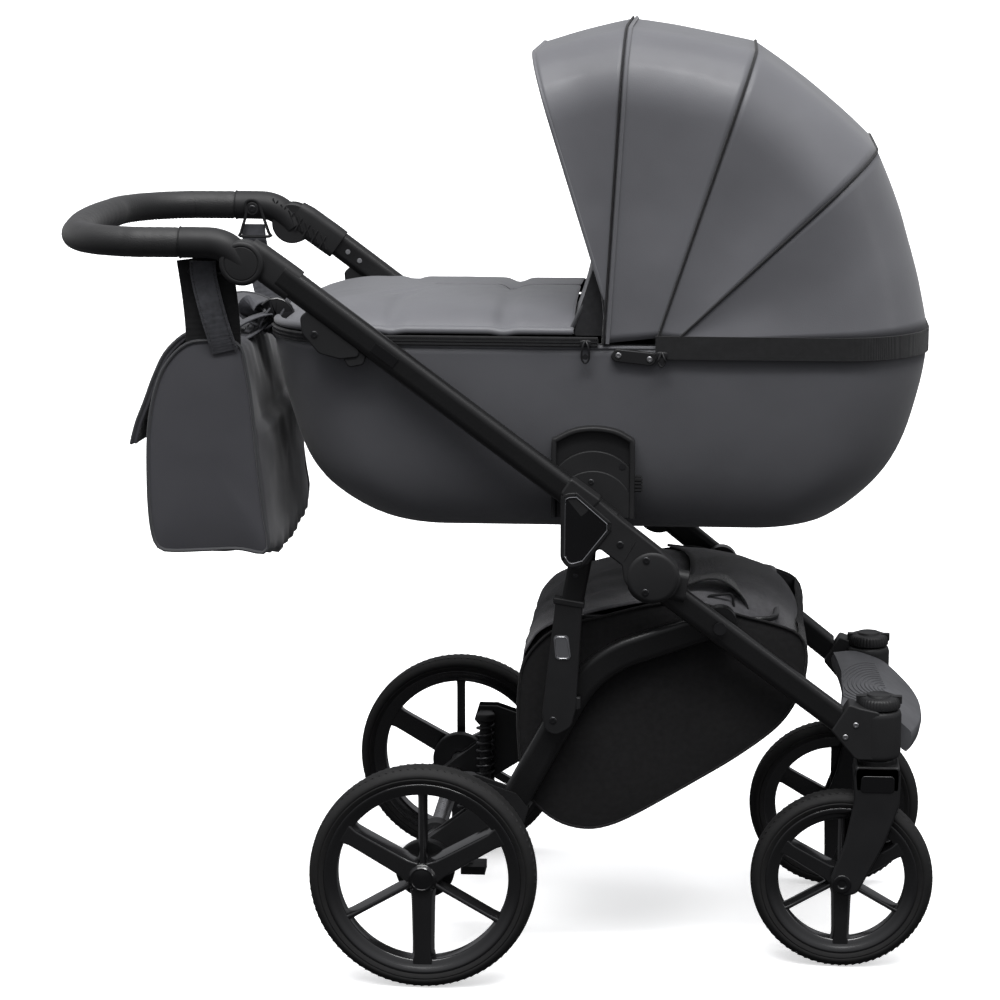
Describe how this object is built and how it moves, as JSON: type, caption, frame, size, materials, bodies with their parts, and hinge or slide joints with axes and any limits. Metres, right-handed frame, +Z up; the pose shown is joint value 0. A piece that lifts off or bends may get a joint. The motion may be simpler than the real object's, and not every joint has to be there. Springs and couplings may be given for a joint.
{
  "type": "baby stroller",
  "caption": "Folding pram with a carrycot, ratcheting hood, changing bag, shopping basket, large rear wheels and lockable swivel front wheels.",
  "frame": {"origin": "on the ground under the middle of the outline", "axes": "+X forwards, +Y to the pram's left, +Z up"},
  "size_m": [1.1396, 0.602, 1.2006],
  "materials": {
    "black_metal": "satin",
    "black_plastic": "matte moulded",
    "gloss_trim": "gloss with bright edge",
    "bare_metal": "satin",
    "tyre_rubber": "fine tread",
    "rim_gloss": "gloss",
    "grip_leather": "stitched grain",
    "grey_leatherette": "fine grain",
    "black_cloth": "plain weave",
    "white_cloth": "soft knit",
    "grey_plastic": "fine texture"
  },
  "bodies": {
    "front_frame": {"front_leg_left": "black_metal", "front_leg_right": "black_metal", "front_housing_left": "black_plastic", "front_housing_right": "black_plastic", "footrest": "grey_plastic", "front_crossbar": "black_metal", "fold_pivot_pins": "bare_metal", "arch_pivot_screws": "bare_metal", "basket": "black_cloth", "basket_frame": "black_metal"},
    "pusher": {"pusher_tube_left": "black_metal", "pusher_tube_right": "black_metal", "elbow_bracket_left": "black_plastic", "elbow_bracket_right": "black_plastic", "elbow_inlays": "gloss_trim", "hub_caps": "black_plastic", "handle_hinge_bases": "black_plastic", "frame_badge": "gloss_trim"},
    "lever_left": {"fold_lever_left": "black_plastic"},
    "lever_right": {"fold_lever_right": "black_plastic"},
    "handle": {"handle_tube": "bare_metal", "handle_grip": "grip_leather", "handle_sleeves": "black_plastic", "handle_hinge_arms": "black_plastic", "bag_clips": "black_plastic"},
    "tilt_button_left": {"handle_button_left": "black_plastic"},
    "tilt_button_right": {"handle_button_right": "black_plastic"},
    "rear_frame": {"rear_arch_left": "black_metal", "rear_arch_right": "black_metal", "axle_brackets": "black_plastic", "rear_axle": "bare_metal", "suspension_springs": "black_plastic", "brake_drums": "black_plastic"},
    "brake": {"brake_pedal": "black_plastic"},
    "rear_legs": {"rear_leg_left": "black_metal", "rear_leg_right": "black_metal", "rear_leg_sleeves": "black_plastic"},
    "rear_roller_left": {"rear_wheel_left": "rim_gloss", "rear_tyre_left": "tyre_rubber"},
    "rear_roller_right": {"rear_wheel_right": "rim_gloss", "rear_tyre_right": "tyre_rubber"},
    "caster_left": {"front_fork_left": "black_plastic"},
    "caster_right": {"front_fork_right": "black_plastic"},
    "front_roller_left": {"front_wheel_left": "rim_gloss", "front_tyre_left": "tyre_rubber"},
    "front_roller_right": {"front_wheel_right": "rim_gloss", "front_tyre_right": "tyre_rubber"},
    "knob_left": {"swivel_knob_left": "black_plastic"},
    "knob_right": {"swivel_knob_right": "black_plastic"},
    "carrycot": {"cot_shell": "grey_leatherette", "mattress": "white_cloth", "apron": "grey_leatherette", "cot_connectors": "black_plastic", "hood_fixed": "grey_leatherette"},
    "release_left": {"cot_button_left": "black_plastic"},
    "release_right": {"cot_button_right": "black_plastic"},
    "hood_bow_rear": {"hood_rear": "grey_leatherette"},
    "hood_bow_mid": {"hood_mid": "grey_leatherette"},
    "hood_bow_front": {"hood_front": "grey_leatherette"},
    "changing_bag": {"bag": "grey_leatherette"}
  },
  "joints": [
    {"name": "chassis_fold", "type": "hinge", "parent": "front_frame", "child": "pusher", "pos_m": [0.20325, 0, 0.52], "axis": [0, 1, 0], "range_deg": [0, 106]},
    {"name": "rear_frame_fold", "type": "hinge", "parent": "front_frame", "child": "rear_frame", "pos_m": [0.29125, 0, 0.458], "axis": [0, 1, 0], "range_deg": [0, 44]},
    {"name": "rear_leg_fold", "type": "hinge", "parent": "pusher", "child": "rear_legs", "pos_m": [0.12025, 0, 0.568], "axis": [0, 1, 0], "range_deg": [-46, 0]},
    {"name": "fold_lever_left", "type": "slide", "parent": "pusher", "child": "lever_left", "axis": [-0.8009, 0, 0.5988], "range_m": [0, 0.012], "stiffness_N_per_m": 400},
    {"name": "fold_lever_right", "type": "slide", "parent": "pusher", "child": "lever_right", "axis": [-0.8009, 0, 0.5988], "range_m": [0, 0.012], "stiffness_N_per_m": 400},
    {"name": "handle_tilt", "type": "hinge", "parent": "pusher", "child": "handle", "pos_m": [-0.30675, 0, 0.915], "axis": [0, 1, 0], "range_deg": [-30, 60]},
    {"name": "tilt_button_left", "type": "slide", "parent": "handle", "child": "tilt_button_left", "axis": [0, -1, 0], "range_m": [0, 0.003], "stiffness_N_per_m": 800},
    {"name": "tilt_button_right", "type": "slide", "parent": "handle", "child": "tilt_button_right", "axis": [0, 1, 0], "range_m": [0, 0.003], "stiffness_N_per_m": 800},
    {"name": "rear_wheel_left_spin", "type": "hinge", "parent": "rear_frame", "child": "rear_roller_left", "pos_m": [-0.07975, 0.281, 0.145], "axis": [0, 1, 0], "continuous": true},
    {"name": "rear_wheel_right_spin", "type": "hinge", "parent": "rear_frame", "child": "rear_roller_right", "pos_m": [-0.07975, -0.281, 0.145], "axis": [0, 1, 0], "continuous": true},
    {"name": "caster_left_swivel", "type": "hinge", "parent": "front_frame", "child": "caster_left", "pos_m": [0.49525, 0.166, 0.277], "axis": [0, 0, 1], "continuous": true},
    {"name": "front_wheel_left_spin", "type": "hinge", "parent": "caster_left", "child": "front_roller_left", "pos_m": [0.45225, 0.166, 0.1175], "axis": [0, 1, 0], "continuous": true},
    {"name": "swivel_lock_left", "type": "hinge", "parent": "front_frame", "child": "knob_left", "pos_m": [0.49525, 0.166, 0.35], "axis": [0, 0, 1], "range_deg": [0, 90]},
    {"name": "caster_right_swivel", "type": "hinge", "parent": "front_frame", "child": "caster_right", "pos_m": [0.49525, -0.166, 0.277], "axis": [0, 0, 1], "continuous": true},
    {"name": "front_wheel_right_spin", "type": "hinge", "parent": "caster_right", "child": "front_roller_right", "pos_m": [0.45225, -0.166, 0.1175], "axis": [0, 1, 0], "continuous": true},
    {"name": "swivel_lock_right", "type": "hinge", "parent": "front_frame", "child": "knob_right", "pos_m": [0.49525, -0.166, 0.35], "axis": [0, 0, 1], "range_deg": [0, 90]},
    {"name": "brake_pedal_press", "type": "hinge", "parent": "rear_frame", "child": "brake", "pos_m": [-0.07975, -0.106, 0.145], "axis": [0, 1, 0], "range_deg": [0, 20]},
    {"name": "carrycot_lift", "type": "slide", "parent": "front_frame", "child": "carrycot", "axis": [0, 0, 1], "range_m": [0, 0.35]},
    {"name": "carrycot_release_left", "type": "slide", "parent": "carrycot", "child": "release_left", "axis": [-1, 0, 0], "range_m": [0, 0.003], "stiffness_N_per_m": 800},
    {"name": "carrycot_release_right", "type": "slide", "parent": "carrycot", "child": "release_right", "axis": [-1, 0, 0], "range_m": [0, 0.003], "stiffness_N_per_m": 800},
    {"name": "hood_fold", "type": "hinge", "parent": "carrycot", "child": "hood_bow_rear", "pos_m": [0.17625, 0, 0.828], "axis": [0, 1, 0], "range_deg": [0, 28]},
    {"name": "hood_fold_mid", "type": "hinge", "parent": "hood_bow_rear", "child": "hood_bow_mid", "pos_m": [0.17625, 0, 0.828], "axis": [0, 1, 0], "range_deg": [0, 25]},
    {"name": "hood_fold_front", "type": "hinge", "parent": "hood_bow_mid", "child": "hood_bow_front", "pos_m": [0.17625, 0, 0.828], "axis": [0, 1, 0], "range_deg": [0, 21]},
    {"name": "bag_swing", "type": "hinge", "parent": "front_frame", "child": "changing_bag", "pos_m": [-0.35975, 0, 0.915], "axis": [0, 1, 0], "range_deg": [0, 10]}
  ],
  "couplings": [
    {"joint": "rear_frame_fold", "follows": "chassis_fold", "ratio": 0.412},
    {"joint": "rear_leg_fold", "follows": "chassis_fold", "ratio": -0.43},
    {"joint": "hood_fold_mid", "follows": "hood_fold", "ratio": 0.8924},
    {"joint": "hood_fold_front", "follows": "hood_fold", "ratio": 0.75}
  ]
}
